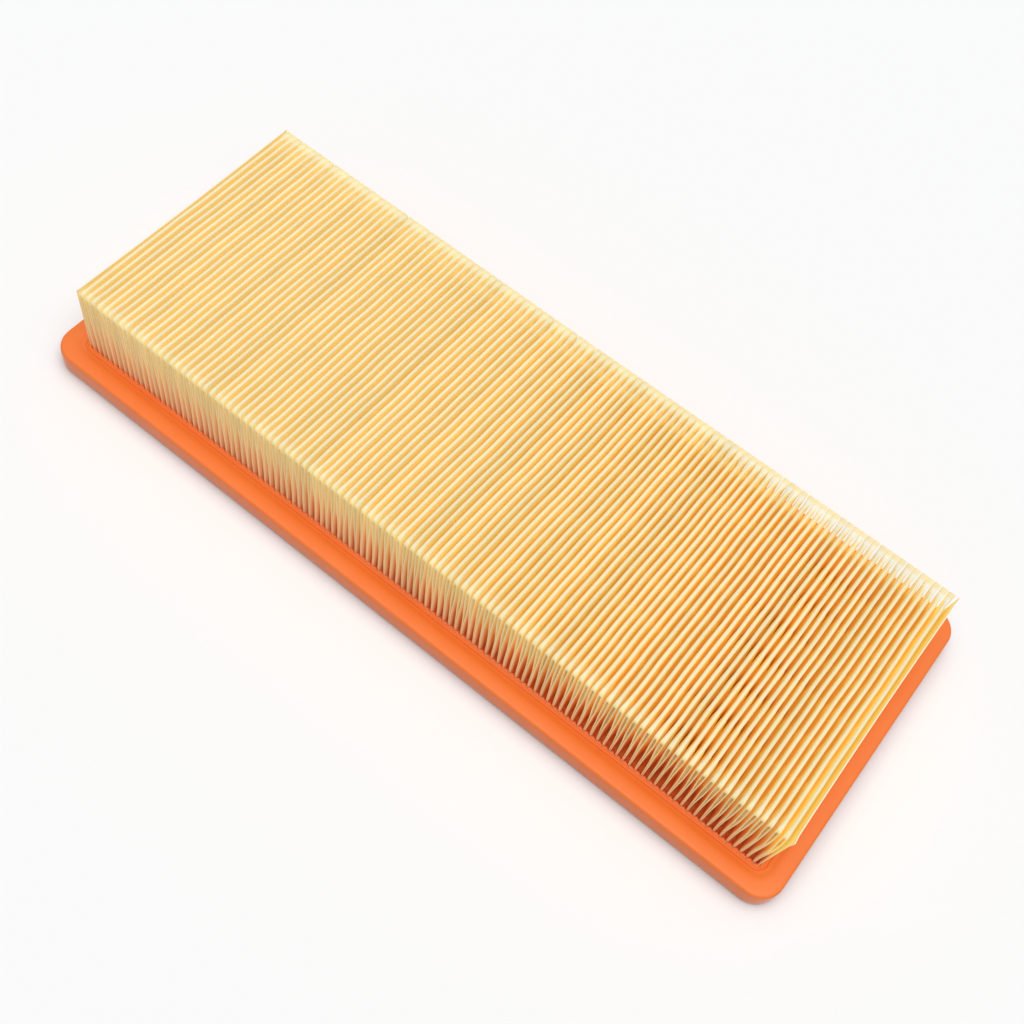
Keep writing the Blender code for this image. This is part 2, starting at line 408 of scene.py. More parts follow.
@dataclass(frozen=True)
class PolyurethaneFinish:
    """Soft orange polyurethane with the satin skin of its mould."""

    skin: Colour = (0.92, 0.200, 0.028, 1.0)
    cloud: Colour = (0.90, 0.180, 0.022, 1.0)
    bloom: Colour = (0.94, 0.25, 0.060, 1.0)

    def material(self) -> bpy.types.Material:
        """Make the frame's material."""
        made = bpy.data.materials.new("polyurethane")
        tree = Tree(made)
        point = tree.place()
        cloud = tree.noise(point, 14.0, 3.0)
        grain = tree.noise(point, 0.35, 3.0)
        ripple = tree.noise(point, 6.0, 1.0)
        colour = tree.blend(cloud.rise(0.35, 0.75) * 0.6, self.skin, self.cloud)
        colour = tree.blend(grain.rise(0.55, 0.85) * 0.25, colour, self.bloom)
        tree.surface({
            "Base Color": colour,
            "Roughness": 0.38 + grain * 0.16 + cloud * 0.06,
            "Specular IOR Level": 0.45,
            "Sheen Weight": 0.40,
            "Sheen Roughness": 0.35,
            "Normal": tree.bump(grain * 0.5 + ripple * 0.5, 0.06, 0.35),
        })
        return made


@dataclass(frozen=True)
class HotMeltFinish:
    """Pale amber hot melt with drawn-out strands, glossier than the paper it holds."""

    amber: Colour = (0.76, 0.42, 0.13, 1.0)
    milky: Colour = (0.86, 0.56, 0.21, 1.0)
    strand: Colour = (0.97, 0.82, 0.48, 1.0)

    def material(self) -> bpy.types.Material:
        """Make the glue's material."""
        made = bpy.data.materials.new("hot_melt")
        tree = Tree(made)
        point = tree.place()
        swirl = tree.noise(point, 1.5, 3.0)
        drawn = tree.noise(point, 0.32, 1.0, (1.0, 6.0, 24.0))
        colour = tree.blend(swirl.rise(0.35, 0.7), self.amber, self.milky)
        tree.surface({
            "Base Color": tree.blend(drawn.rise(0.50, 0.60) * 0.85, colour, self.strand),
            "Roughness": 0.32 + swirl * 0.20,
            "Normal": tree.bump(swirl, 0.15, 0.5),
        })
        return made


@dataclass(frozen=True)
class FloorFinish:
    """Plain pale floor that keeps soft shadows, with a painted contact shade that is deepest where
    something stands on it.
    """

    paint: Colour = (0.969, 0.972, 0.975, 1.0)
    shaded: Colour = (0.40, 0.40, 0.41, 1.0)
    unseen: Colour = (0.55, 0.55, 0.55, 1.0)
    shade_reach_mm: float = 9.0
    shade_share: float = 0.65

    def material(self) -> bpy.types.Material:
        """Make the floor's material."""
        made = bpy.data.materials.new("studio_floor")
        tree = Tree(made)
        reach = {"Distance": self.shade_reach_mm * MM}
        # Painted contact shade: an occlusion node darkens the floor's colour close to the part, beyond its
        # real shadow.
        hidden = 1.0 - tree.node("ShaderNodeAmbientOcclusion", {"samples": 8}, reach, "AO")
        shade = hidden.rise(0.08, 0.75) * self.shade_share
        bare = tree.node("ShaderNodeBsdfDiffuse", None, {"Color": self.paint})
        dark = tree.node("ShaderNodeBsdfDiffuse", None, {"Color": self.shaded})
        shown = tree.node("ShaderNodeMixShader", None, {0: shade, 1: bare, 2: dark})
        dull = tree.node("ShaderNodeBsdfDiffuse", None, {"Color": self.unseen})
        mixed = tree.node("ShaderNodeMixShader", None, {0: seen_directly(tree), 1: dull, 2: shown})
        tree.node_output("ShaderNodeOutputMaterial", mixed)
        return made


def seen_directly(tree: Tree) -> Socket:
    """Tell rays that show the surroundings from those that light the object.

    Args:
        tree: The tree that the Light Path node goes into.

    Returns:
        1 for camera, glossy and transmission rays, and 0 for the rest.
    """
    path = tree.node("ShaderNodeLightPath", None, None, "Is Camera Ray")
    return path + path.sibling("Is Glossy Ray") + path.sibling("Is Transmission Ray")


def smooth(low: float, high: float, value: np.ndarray) -> np.ndarray:
    """A smooth step from 0 to 1 of an array.

    Args:
        low: Value where the step starts.
        high: Value where it ends.
        value: The array.

    Returns:
        The step of each value.
    """
    share = np.clip((value - low) / (high - low), 0.0, 1.0)
    return share * share * (3.0 - 2.0 * share)


def grid_faces(rows: int, columns: int, start: int = 0, wrap: bool = False) -> np.ndarray:
    """Quads over a grid of points that was laid out row by row.

    Args:
        rows: Number of rows.
        columns: Number of points in a row.
        start: Number of the first point.
        wrap: Whether the last row and column join the first.

    Returns:
        The points of each quad.
    """
    spare = 0 if wrap else 1
    row, column = np.meshgrid(np.arange(rows - spare), np.arange(columns - spare), indexing="ij")
    below, beside = (row + 1) % rows, (column + 1) % columns
    here, next_row = row * columns, below * columns
    corners = [here + column, here + beside, next_row + beside, next_row + column]
    return start + np.stack(corners, -1).reshape(-1, 4)


def make_piece(
    name: str,
    points: np.ndarray,
    faces: Sequence[Sequence[int]],
    crease_deg: float,
) -> bpy.types.Object:
    """Make a mesh object that rides on the part's body.

    Args:
        name: Name of the piece.
        points: Its points, in millimetres.
        faces: The points of each face.
        crease_deg: Angle above which an edge stays sharp.

    Returns:
        The object.
    """
    mesh = bpy.data.meshes.new(name)
    mesh.from_pydata((points * MM).tolist(), [], [list(face) for face in faces])
    mesh.update()
    mesh.shade_smooth()
    mesh.set_sharp_from_angle(angle=math.radians(crease_deg))
    made = bpy.data.objects.new(name, mesh)
    bpy.context.scene.collection.objects.link(made)
    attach(made, BODY)
    return made


@dataclass
class PleatPack:
    """The paper: one sheet folded into ridges, with a free flap at either end. Lengths in millimetres."""

    ridges: int = 113
    valley_span: float = 260.92
    width: float = 93.2
    centre_y: float = -2.0
    foot: float = 4.3
    crest: float = 35.0
    paper: float = 0.42
    pressed_paper: float = 0.27
    fold_radius: float = 0.36
    flare_length: dict[Edge, float] = field(default_factory=lambda: {Edge.FRONT: 4.2, Edge.REAR: 5.6})
    skew: float = 1.2
    skew_from: float = 10.0
    skew_climb: Span = (8.5, 15.0)
    pinch_length: float = 7.5
    tip_drop: float = 1.25
    tip_length: float = 1.5
    spacer_rows: int = 8
    spacer_pitch: float = 11.67
    spacer_reach: float = 2.2
    spacer_fill: float = 0.92
    spacer_top: float = 0.80
    last_spacer_top: float = 0.89
    flap_knee: float = 8.4
    flap_lean: dict[PackEnd, float] = field(default_factory=lambda: {PackEnd.START: 0.3, PackEnd.END: 1.9})
    lean_share: float = 0.6
    lean_power: int = 6
    stray: float = 0.05
    wave: float = 0.07
    wave_length: float = 47.0
    wave_drift: float = 0.35
    bend: float = 1.5
    bend_centre: float = 12.0
    bend_reach: float = 44.0
    ear: float = 0.35
    ear_drop: float = 0.4
    ear_along: float = 43.6
    ear_height: float = 30.5
    flap_bow: float = 0.35
    open_spread: float = 0.30
    open_limits: Span = (-0.4, 0.35)
    open_level: float = 0.52
    open_reach: float = 0.17
    sway: float = 0.15
    sway_turn: float = 4.5
    hook: Span = (0.05, 0.62)
    wall_shares: tuple[float, ...] = (0.10, 0.28, 0.46, 0.58, 0.70, 0.84, 0.91, 0.965)
    pinched_shares: tuple[float, ...] = (0.0, 0.12, 0.48, 0.62, 0.75, 1.0)
    front_halves: tuple[float, ...] = (0.17, 0.18, 0.27, 0.45, 0.55, 0.57)
    rear_halves: tuple[float, ...] = (0.17, 0.18, 0.27, 0.46, 0.60, 0.96)
    fold_angles_deg: tuple[float, ...] = (0.0, 30.0, 60.0, 90.0)
    flap_heights: tuple[float, ...] = (35.0, 34.0, 31.5, 27.0, 18.0, 8.4)

    @property
    def pitch(self) -> float:
        """Distance from ridge to ridge."""
        return self.valley_span / self.ridges

    @property
    def low(self) -> float:
        """Height of the centres of the valley folds."""
        return self.foot + self.paper / 2 + self.fold_radius

    @property
    def high(self) -> float:
        """Height of the centres of the crest folds."""
        return self.crest - self.paper / 2 - self.fold_radius

    def centres(self) -> np.ndarray:
        """X of each ridge at its foot."""
        return -self.valley_span / 2 + self.pitch * (np.arange(self.ridges) + 0.5)

    def spacer_lines(self) -> np.ndarray:
        """Place of each row of embossed spacers along the folds."""
        return (np.arange(self.spacer_rows) - (self.spacer_rows - 1) / 2) * self.spacer_pitch

    def stations(self) -> np.ndarray:
        """Place of each section along the folds, closer together at the spacers and at the cut edges."""
        rows = self.spacer_lines()
        near_rows = (rows[:, None] + self.spacer_reach * np.array([-1.0, -0.5, 0.0, 0.5, 1.0])).ravel()
        between = (rows[1:] + rows[:-1]) / 2
        tail = self.width / 2 - np.array([0.0, 0.2, 0.5, 0.95, 1.6, 2.6])
        return np.sort(np.concatenate([near_rows, between, tail, -tail]))

    def from_edge(self, along: np.ndarray) -> np.ndarray:
        """Distance of each section from the nearer cut edge."""
        return self.width / 2 - np.abs(along)

    def unflared(self, along: np.ndarray) -> np.ndarray:
        """How far each section is from a spread ridge end, from 0 to 1."""
        reach = np.where(along < 0, self.flare_length[Edge.FRONT], self.flare_length[Edge.REAR])
        return smooth(0.0, 1.0, self.from_edge(along) / reach)

    def thickness(self, along: np.ndarray) -> np.ndarray:
        """Thickness of the paper, which was pressed thinner at its glued ends."""
        return self.pressed_paper + (self.paper - self.pressed_paper) * self.unflared(along)

    def half_width(self, along: np.ndarray, share: float) -> np.ndarray:
        """Half of a ridge's width between the middles of its two sheets.

        The two sheets lie almost together at the foot of a glued end and part above it, and
        inside the pack they spread from the fold down to the valleys.

        Args:
            along: The stations.
            share: Height as a share of that between the valley and the crest folds.

        Returns:
            The half width at each station.
        """
        inset = self.from_edge(along)
        foot = self.pitch / 2 - self.fold_radius
        opened = foot + (self.fold_radius - foot) * share
        front = np.interp(share, self.pinched_shares, self.front_halves)
        rear = np.interp(share, self.pinched_shares, self.rear_halves)
        pinched = np.where(along < 0, front, rear)
        low, high = smooth(0.0, self.pinch_length, inset), self.unflared(along)
        return pinched + (opened - pinched) * (low + (high - low) * share)

    def drop(self, along: np.ndarray) -> np.ndarray:
        """How far the crest is rounded down towards its front end."""
        near = np.clip(1.0 - (self.width / 2 + along) / self.tip_length, 0.0, 1.0)
        return self.tip_drop * (1.0 - np.sqrt(1.0 - near * near))

    def ridge_section(self, along: np.ndarray) -> tuple[np.ndarray, np.ndarray, np.ndarray]:
        """The middle line of one ridge's sheet, from the valley on its left to that on its right.

        Args:
            along: The stations.

        Returns:
            X from the ridge's centre and Z, for each station and point, and the side of the ridge
            that each point is on, as -1, 0 or 1.
        """
        radius, turn = self.fold_radius, math.sqrt(0.5)
        spread, drop = self.half_width(along, 0.0), self.drop(along)
        level = np.ones_like(along)
        columns = [level * self.pitch / 2, spread + radius * (1 - turn), spread]
        heights = [level * (self.low - radius), level * (self.low - radius * turn), level * self.low]
        for share in self.wall_shares:
            columns.append(self.half_width(along, share))
            heights.append(self.low + (self.high - drop - self.low) * share)
        for angle in np.radians(self.fold_angles_deg):
            columns.append(self.half_width(along, 1.0) * max(math.cos(angle), 0.0))
            heights.append(self.high - drop + radius * math.sin(angle))
        half, z = np.stack(columns, 1), np.stack(heights, 1)
        columns_side = np.full(half.shape[1], -1.0)
        columns_side[[0, -1]] = 0.0
        x = np.concatenate([-half, half[:, -2:0:-1]], 1)
        side = np.concatenate([columns_side, -columns_side[-2:0:-1]])
        return x, np.concatenate([z, z[:, -2:0:-1]], 1), side

    def lean(self) -> np.ndarray:
        """How far each ridge leans over with the flap at its end of the pack."""
        x = self.centres()
        flap = np.where(x > 0, self.flap_lean[PackEnd.END], -self.flap_lean[PackEnd.START])
        return self.lean_share * flap * (np.abs(x) / (self.valley_span / 2)) ** self.lean_power

    def wander(self, along: np.ndarray) -> np.ndarray:
        """How far each crest wanders from a straight line.

        Args:
            along: The stations.

        Returns:
            The shift in X for each station and ridge.
        """
        rng = np.random.default_rng(SEED)
        stray = rng.normal(0.0, self.stray, self.ridges)
        drift = np.cumsum(rng.normal(0.0, self.wave_drift, (3, self.ridges)), axis=1)
        waves = sum(
            self.wave / count * np.sin(2 * np.pi * along[:, None] * count / self.wave_length + phase)
            for count, phase in enumerate(drift, 1)
        )
        bulge = np.exp(-(((self.centres() - self.bend_centre) / self.bend_reach) ** 2))
        slant = 0.4 - smooth(-0.75 * self.width / 2, 1.1 * self.width / 2, -along)
        return stray + waves + self.bend * slant[:, None] * bulge

    def moved(self, along: np.ndarray, rise: np.ndarray) -> np.ndarray:
        """How far the points of every ridge stand from over its foot.

        Args:
            along: The stations.
            rise: Height of each station's points, from 0 at the valleys to 1 at the crests.

        Returns:
            The shift in X for each station, ridge and point.
        """
        rng = np.random.default_rng(SEED + 2)
        hooked = smooth(*self.hook, rise)
        upright = np.clip(rise, 0.0, 1.2)
        lean = self.lean()[None, :, None] * hooked[:, None, :]
        turn = rng.uniform(0.0, 2 * np.pi, self.ridges)[None, :, None]
        near = self.at_end(along)[:, None, None] * smooth(0.0, 0.2, upright)[:, None, :]
        sway = self.sway * near * np.sin(self.sway_turn * rise[:, None, :] + turn)
        return lean + sway + self.wander(along)[:, :, None] * upright[:, None, :]

    def at_end(self, along: np.ndarray) -> np.ndarray:
        """How far each section takes part in a glued end, from 0 to 1."""
        return 1.0 - smooth(0.0, self.pinch_length, self.from_edge(along))

    def opening(self, along: np.ndarray, rise: np.ndarray) -> np.ndarray:
        """How unevenly the glued ends open: a factor on the width of every ridge.

        Args:
            along: The stations.
            rise: Height of each station's points, from 0 at the valleys to 1 at the crests.

        Returns:
            The factor for each station, ridge and point.
        """
        rng = np.random.default_rng(SEED + 3)
        spread = rng.normal(0.0, self.open_spread, self.ridges).clip(*self.open_limits)
        middle = np.exp(-(((rise - self.open_level) / self.open_reach) ** 2))
        return 1.0 + spread[None, :, None] * (self.at_end(along)[:, None] * middle)[:, None, :]

    def spaced(self, along: np.ndarray, x: np.ndarray, z: np.ndarray, side: np.ndarray) -> np.ndarray:
        """Push the walls out to meet their neighbours at the embossed spacers.

        Args:
            along: The stations.
            x: X from the ridge's centre for each station and point.
            z: Height of each station's points.
            side: Side of the ridge that each point is on.

        Returns:
            X of each station, ridge and point.
        """
        rise = (z - self.low) / (self.high - self.low)
        nearest = np.abs(along[:, None] - self.spacer_lines()).min(axis=1)
        row = 1.0 - smooth(0.25 * self.spacer_reach, self.spacer_reach, nearest)
        last = along > self.spacer_lines()[-1] - self.spacer_reach
        top = np.where(last, self.last_spacer_top, self.spacer_top)[:, None]
        tall = smooth(0.0, 0.15, rise) * (1.0 - smooth(0.0, 0.10, rise - top))
        room = self.pitch / 2 - np.abs(x) - self.paper / 2
        shift = self.moved(along, rise)
        step = np.diff(shift, axis=1, prepend=shift[:, :1], append=shift[:, -1:])
        gap = room[:, None, :] + np.where(side < 0, step[:, :-1], step[:, 1:]) / 2
        push = side * gap * self.spacer_fill * (row[:, None] * tall)[:, None, :]
        return self.centres()[:, None] + x[:, None, :] * self.opening(along, rise) + shift + push

    def flap(self, along: np.ndarray, end: PackEnd) -> tuple[np.ndarray, np.ndarray]:
        """The middle line of an end flap, from its free edge down to the first valley.

        Args:
            along: The stations.
            end: The end of the pack that it closes.

        Returns:
            X and Z for each station and point.
        """
        radius, turn = self.fold_radius, math.sqrt(0.5)
        z = np.array([*self.flap_heights, self.low, self.low - radius * turn])
        out = np.full(len(z), radius)
        out[-1] = radius * turn
        climb = np.clip((z - self.flap_knee) / (self.crest - self.flap_knee), 0.0, 1.0)
        out = out + self.flap_lean[end] * climb
        bow = self.flap_bow * np.sin(np.pi * (along / self.width + 0.5))[:, None] * climb
        x = out[None, :] - bow
        heights = np.repeat(z[None, :], len(along), axis=0)
        if end is PackEnd.END:
            bent = smooth(self.ear_along, self.width / 2, -along)[:, None]
            bent = bent * smooth(self.ear_height, self.crest, z)
            x, heights = x + self.ear * bent, heights - self.ear_drop * bent
        return end.value * (self.valley_span / 2 + x), heights

    def middle_line(self, along: np.ndarray) -> tuple[np.ndarray, np.ndarray]:
        """The middle of the whole sheet in every section.

        Args:
            along: The stations.

        Returns:
            X and Z for each station and point.
        """
        x, z, side = self.ridge_section(along)
        folded = self.spaced(along, x, z, side).reshape(len(along), -1)
        heights = np.tile(z, (1, self.ridges))
        start_x, start_z = self.flap(along, PackEnd.START)
        end_x, end_z = self.flap(along, PackEnd.END)
        last = np.full((len(along), 1), self.valley_span / 2)
        all_x = np.concatenate([start_x, folded, last, end_x[:, ::-1]], 1)
        all_z = np.concatenate([start_z, heights, z[:, :1], end_z[:, ::-1]], 1)
        return all_x, all_z

    def face(self, x: np.ndarray, z: np.ndarray, offset: np.ndarray) -> tuple[np.ndarray, np.ndarray]:
        """One face of the sheet, at a distance from its middle line.

        Args:
            x: X of the middle line.
            z: Z of the middle line.
            offset: Distance towards the dusty side, for each station.

        Returns:
            X and Z of the face.
        """
        step_x, step_z = np.diff(x, axis=1), np.diff(z, axis=1)
        length = np.hypot(step_x, step_z)
        step_x, step_z = step_x / length, step_z / length
        turn_x = np.concatenate([step_x[:, :1], step_x[:, 1:] + step_x[:, :-1], step_x[:, -1:]], 1)
        turn_z = np.concatenate([step_z[:, :1], step_z[:, 1:] + step_z[:, :-1], step_z[:, -1:]], 1)
        length = np.hypot(turn_x, turn_z)
        away = offset[:, None]
        return x - away * turn_z / length, z + away * turn_x / length

    def build(self) -> bpy.types.Object:
        """Fold the sheet: its two faces, its cut edges and the free edges of its flaps."""
        along = self.stations()
        x, z = self.middle_line(along)
        sections, count = x.shape
        half = self.thickness(along) / 2
        faces = []
        for offset in (half, -half):
            face_x, face_z = self.face(x, z, offset)
            y = along[:, None] + self.centre_y + self.skewed(along, face_x, face_z)
            faces.append(np.stack([face_x, y, face_z], -1).reshape(-1, 3))
        clean = sections * count
        top = grid_faces(sections, count)
        under = grid_faces(sections, count, clean)[:, ::-1]
        near = np.arange(count - 1)
        front = np.stack([near, near + clean, near + 1 + clean, near + 1], 1)
        far = near + (sections - 1) * count
        rear = np.stack([far, far + 1, far + 1 + clean, far + clean], 1)
        tip = np.arange(sections - 1) * count
        start = np.stack([tip, tip + count, tip + count + clean, tip + clean], 1)
        tip = tip + count - 1
        end = np.stack([tip + clean, tip + count + clean, tip + count, tip], 1)
        points = np.concatenate(faces)
        points[:, 2] = np.minimum(points[:, 2], self.crest)
        made = make_piece("paper_pack", points, np.concatenate([top, under, front, rear, start, end]), 60.0)
        self.add_tone(made, sections, count)
        return made

    def skewed(self, along: np.ndarray, x: np.ndarray, z: np.ndarray) -> np.ndarray:
        """How far the rear edge runs out towards the END flap, above the frame that holds its foot.

        Args:
            along: The stations.
            x: X of each station's points.
            z: Height of each station's points.

        Returns:
            The shift in Y of each point.
        """
        share = np.clip(x / (self.valley_span / 2), 0.0, 1.0) * smooth(*self.skew_climb, z)
        return self.skew * smooth(self.skew_from, self.width / 2, along)[:, None] * share

    def add_tone(self, made: bpy.types.Object, sections: int, count: int) -> None:
        """Give each ridge a tone of its own, between 0 and 1.

        Args:
            made: The paper.
            sections: Number of stations.
            count: Number of points in a section.
        """
        rng = np.random.default_rng(SEED + 1)
        per_ridge = rng.uniform(0.0, 1.0, self.ridges + 2)
        flap = len(self.flap_heights) + 2
        ridge_points = (count - 2 * flap - 1) // self.ridges
        tones = np.concatenate([
            np.full(flap, per_ridge[0]),
            np.repeat(per_ridge[1:-1], ridge_points),
            np.full(flap + 1, per_ridge[-1]),
        ])
        attribute = made.data.attributes.new(PaperFinish.tone_name, "FLOAT", "POINT")
        attribute.data.foreach_set("value", np.tile(tones, 2 * sections).astype(np.float32))

    def dress(self, made: bpy.types.Object) -> None:
        """Give the paper its finish and let it stand for its solid."""
        made.data.materials.append(PaperFinish().material())
        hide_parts("pleated_media")


@dataclass
class SealFrame:
    """The polyurethane frame that was cast round the foot of the pack. Lengths in millimetres."""

    length: float = 280.0
    width: float = 115.0
    rear_extra: float = 4.0
    insets: tuple[float, ...] = (0.0, 4.6, 7.4, 8.6)
    corners: tuple[float, ...] = (8.0, 5.4, 3.0, 0.6)
    band: tuple[float, float] = (1.3, 3.6)
    corner_steps: int = 16
    end_steps: int = 24
    end_margin: float = 14.6
    bend_gap: float = 0.05
    fillet_steps: int = 4
    scallop: float = 0.35
    outline: tuple[Triple, ...] = (
        (0.0, 0.0, 1.3),
        (0.0, 8.0, 1.3),
        (4.7, 8.0, 1.0),
        (6.1, 7.45, 0.6),
        (6.9, 7.40, 0.3),
        (7.3, 6.95, 0.25),
        (7.7, 6.95, 0.25),
        (8.1, 7.45, 0.25),
        (8.6, 7.50, 0.25),
        (9.0, 6.6, 0.2),
        (9.8, 4.9, 0.4),
        (12.4, 4.45, 0.3),
        (12.7, 3.6, 0.2),
        (13.6, 3.6, 0.3),
        (13.6, 0.0, 0.5),
    )

    def section(self) -> np.ndarray:
        """The section as (inset from the outer edge, height) points, with its corners rounded."""
        corners = np.array(self.outline)
        points = []
        for before, corner, after in zip(np.roll(corners, 1, 0), corners, np.roll(corners, -1, 0)):
            here, radius = corner[:2], corner[2]
            first = here + radius * (before[:2] - here) / np.linalg.norm(before[:2] - here)
            last = here + radius * (after[:2] - here) / np.linalg.norm(after[:2] - here)
            for share in np.linspace(0.0, 1.0, self.fillet_steps + 1):
                points.append((1 - share) ** 2 * first + 2 * share * (1 - share) * here + share ** 2 * last)
        return np.array(points)

    def ring(self, inset: float, height: float, pack: PleatPack) -> np.ndarray:
        """One ring of points round the frame.

        Args:
            inset: Distance inside the outer edge.
            height: Height above the underside.
            pack: The pleats, between which the cast rises a little.

        Returns:
            The points of the ring, anticlockwise from above.
        """
        radius = float(np.interp(inset, self.insets, self.corners))
        half_x, front = self.length / 2 - inset, self.width / 2 - inset
        rear = front - float(np.interp(inset, self.band, (0.0, self.rear_extra)))
        marks = np.arange(2 * pack.ridges + 1)
        straight = min(pack.valley_span / 2, half_x - radius - self.bend_gap)
        along = np.linspace(-straight, straight, len(marks))
        flow = np.where(marks % 2 == 0, 1.0, -1.0) * self.flow(inset) * self.scallop
        reach = self.width / 2 - self.end_margin
        across = np.linspace(-reach, reach - self.rear_extra, self.end_steps)
        level = np.full(len(across), height)
        rows = [
            np.stack([along, flow - front, height + 0.5 * flow], 1),
            self.bend(half_x - radius, radius - front, radius, height, 0),
            np.stack([np.full(len(across), half_x), across, level], 1),
            self.bend(half_x - radius, rear - radius, radius, height, 1),
            np.stack([-along, rear - flow, height + 0.5 * flow], 1),
            self.bend(radius - half_x, rear - radius, radius, height, 2),
            np.stack([np.full(len(across), -half_x), across[::-1], level], 1),
            self.bend(radius - half_x, radius - front, radius, height, 3),
        ]
        return np.concatenate(rows)

    def bend(self, x: float, y: float, radius: float, height: float, quarter: int) -> np.ndarray:
        """The points of one corner of a ring.

        Args:
            x: X of the corner's centre.
            y: Y of the corner's centre.
            radius: Its radius.
            height: Its height.
            quarter: Which corner it is, from the front right one anticlockwise.

        Returns:
            The points.
        """
        swing = np.linspace(0.0, np.pi / 2, self.corner_steps) + (quarter - 1) * np.pi / 2
        level = np.full(len(swing), height)
        return np.stack([x + radius * np.cos(swing), y + radius * np.sin(swing), level], 1)

    def flow(self, inset: float) -> float:
        """How strongly the cast follows the pleats at an inset: only at the lip and inside it."""
        return float(smooth(7.9, 8.7, np.array(inset)) * (1.0 - smooth(9.0, 12.0, np.array(inset))))

    def build(self, pack: PleatPack) -> bpy.types.Object:
        """Sweep the section round the frame.

        Args:
            pack: The pleats that the frame was cast round.

        Returns:
            The frame.
        """
        rings = np.array([self.ring(inset, height, pack) for inset, height in self.section()])
        faces = grid_faces(rings.shape[0], rings.shape[1], 0, True)
        return make_piece("sealing_frame", rings.reshape(-1, 3), faces, 50.0)

    def dress(self, made: bpy.types.Object) -> None:
        """Give the frame its finish and let it stand for its solid."""
        made.data.materials.append(PolyurethaneFinish().material())
        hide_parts("seal_frame")


@dataclass
class EdgeSeal:
    """The hot melt along one cut edge: a film under the folds and a tooth up inside each ridge."""

    edge: Edge
    setback: float = 0.30
    depth: float = 4.0
    film: tuple[float, float] = (3.7, 4.2)
    clearance: float = 0.03
    thinnest: float = 0.01
    unevenness: float = 0.25
    levels: tuple[float, ...] = (0.0, 0.10, 0.28, 0.46, 0.58, 0.70, 0.84, 0.91, 0.965)
    recesses: tuple[float, ...] = (0.0, 0.0, 0.05, 0.20, 0.55, 0.90, 1.15, 1.20, 1.10)
    rows: tuple[float, ...] = (0.0, 0.35, 1.0)

    def teeth(self, pack: PleatPack) -> tuple[np.ndarray, list[list[int]]]:
        """The glue inside the ridges.

        Args:
            pack: The pleats that it closes.

        Returns:
            The points of all teeth, and the faces between them.
        """
        rng = np.random.default_rng(SEED + 5 + self.edge.value)
        inset = self.setback + self.depth * np.array(self.rows)
        along = self.edge.value * (pack.width / 2 - inset)
        rise = np.repeat(np.array(self.levels)[None, :], len(along), axis=0)
        inner_mid = np.stack([pack.half_width(along, level) for level in self.levels], 1)
        inner = inner_mid - pack.thickness(along)[:, None] / 2
        half = np.maximum(np.minimum(inner, inner[:1]) - self.clearance, self.thinnest)
        shift = pack.moved(along, rise)
        opening = pack.opening(along, rise)
        heights = pack.low + (pack.high - pack.drop(along)[:, None] - pack.low) * rise
        heights[:, 0] = self.film[1]
        points, faces = [], []
        rows, ring = len(along), 2 * len(self.levels)
        for ridge, centre in enumerate(pack.centres()):
            base = len(points)
            recess = np.array(self.recesses) + rng.uniform(0.0, self.unevenness, len(self.levels))
            for row in range(rows):
                y = along[row] + pack.centre_y - self.edge.value * recess * (row == 0)
                middle = centre + shift[row, ridge]
                closed = np.maximum(1.0 - opening[row, ridge], 0.0) * inner_mid[row]
                wide = np.maximum(half[row] - closed, self.thinnest)
                left = np.stack([middle - wide, y, heights[row]], 1)
                right = np.stack([middle + wide, y, heights[row]], 1)[::-1]
                points.extend(np.concatenate([left, right]).tolist())
            for row in range(rows - 1):
                for spot in range(ring):
                    beside = (spot + 1) % ring
                    near = base + row * ring
                    faces.append([near + spot, near + beside, near + ring + beside, near + ring + spot])
            last = len(self.levels) - 1
            for cap in (base, base + (rows - 1) * ring):
                for level in range(last):
                    quad = [cap + level, cap + ring - 1 - level, cap + ring - 2 - level, cap + level + 1]
                    faces.append(quad if cap == base else quad[::-1])
        return np.array(points), faces if self.edge is Edge.FRONT else [face[::-1] for face in faces]

    def build(self, pack: PleatPack) -> bpy.types.Object:
        """Make the teeth and the film that joins them.

        Args:
            pack: The pleats that the glue closes.

        Returns:
            The glue of this edge.
        """
        points, faces = self.teeth(pack)
        start = len(points)
        half = pack.valley_span / 2 + pack.fold_radius
        near, deep = pack.width / 2 - self.setback, pack.width / 2 - self.setback - self.depth
        low, high = sorted(pack.centre_y + self.edge.value * reach for reach in (near, deep))
        box = [(x, y, z) for z in self.film for y in (low, high) for x in (-half, half)]
        quads = ((0, 2, 3, 1), (4, 5, 7, 6), (0, 1, 5, 4), (2, 6, 7, 3), (0, 4, 6, 2), (1, 3, 7, 5))
        faces = [*faces, *[[start + spot for spot in quad] for quad in quads]]
        return make_piece(f"hot_melt_{self.edge.name.lower()}", np.concatenate([points, box]), faces, 50.0)

    def dress(self, made: bpy.types.Object, glue: bpy.types.Material) -> None:
        """Give the glue its finish and let it stand for its solid."""
        made.data.materials.append(glue)
        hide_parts(f"edge_seal_{self.edge.name.lower()}")


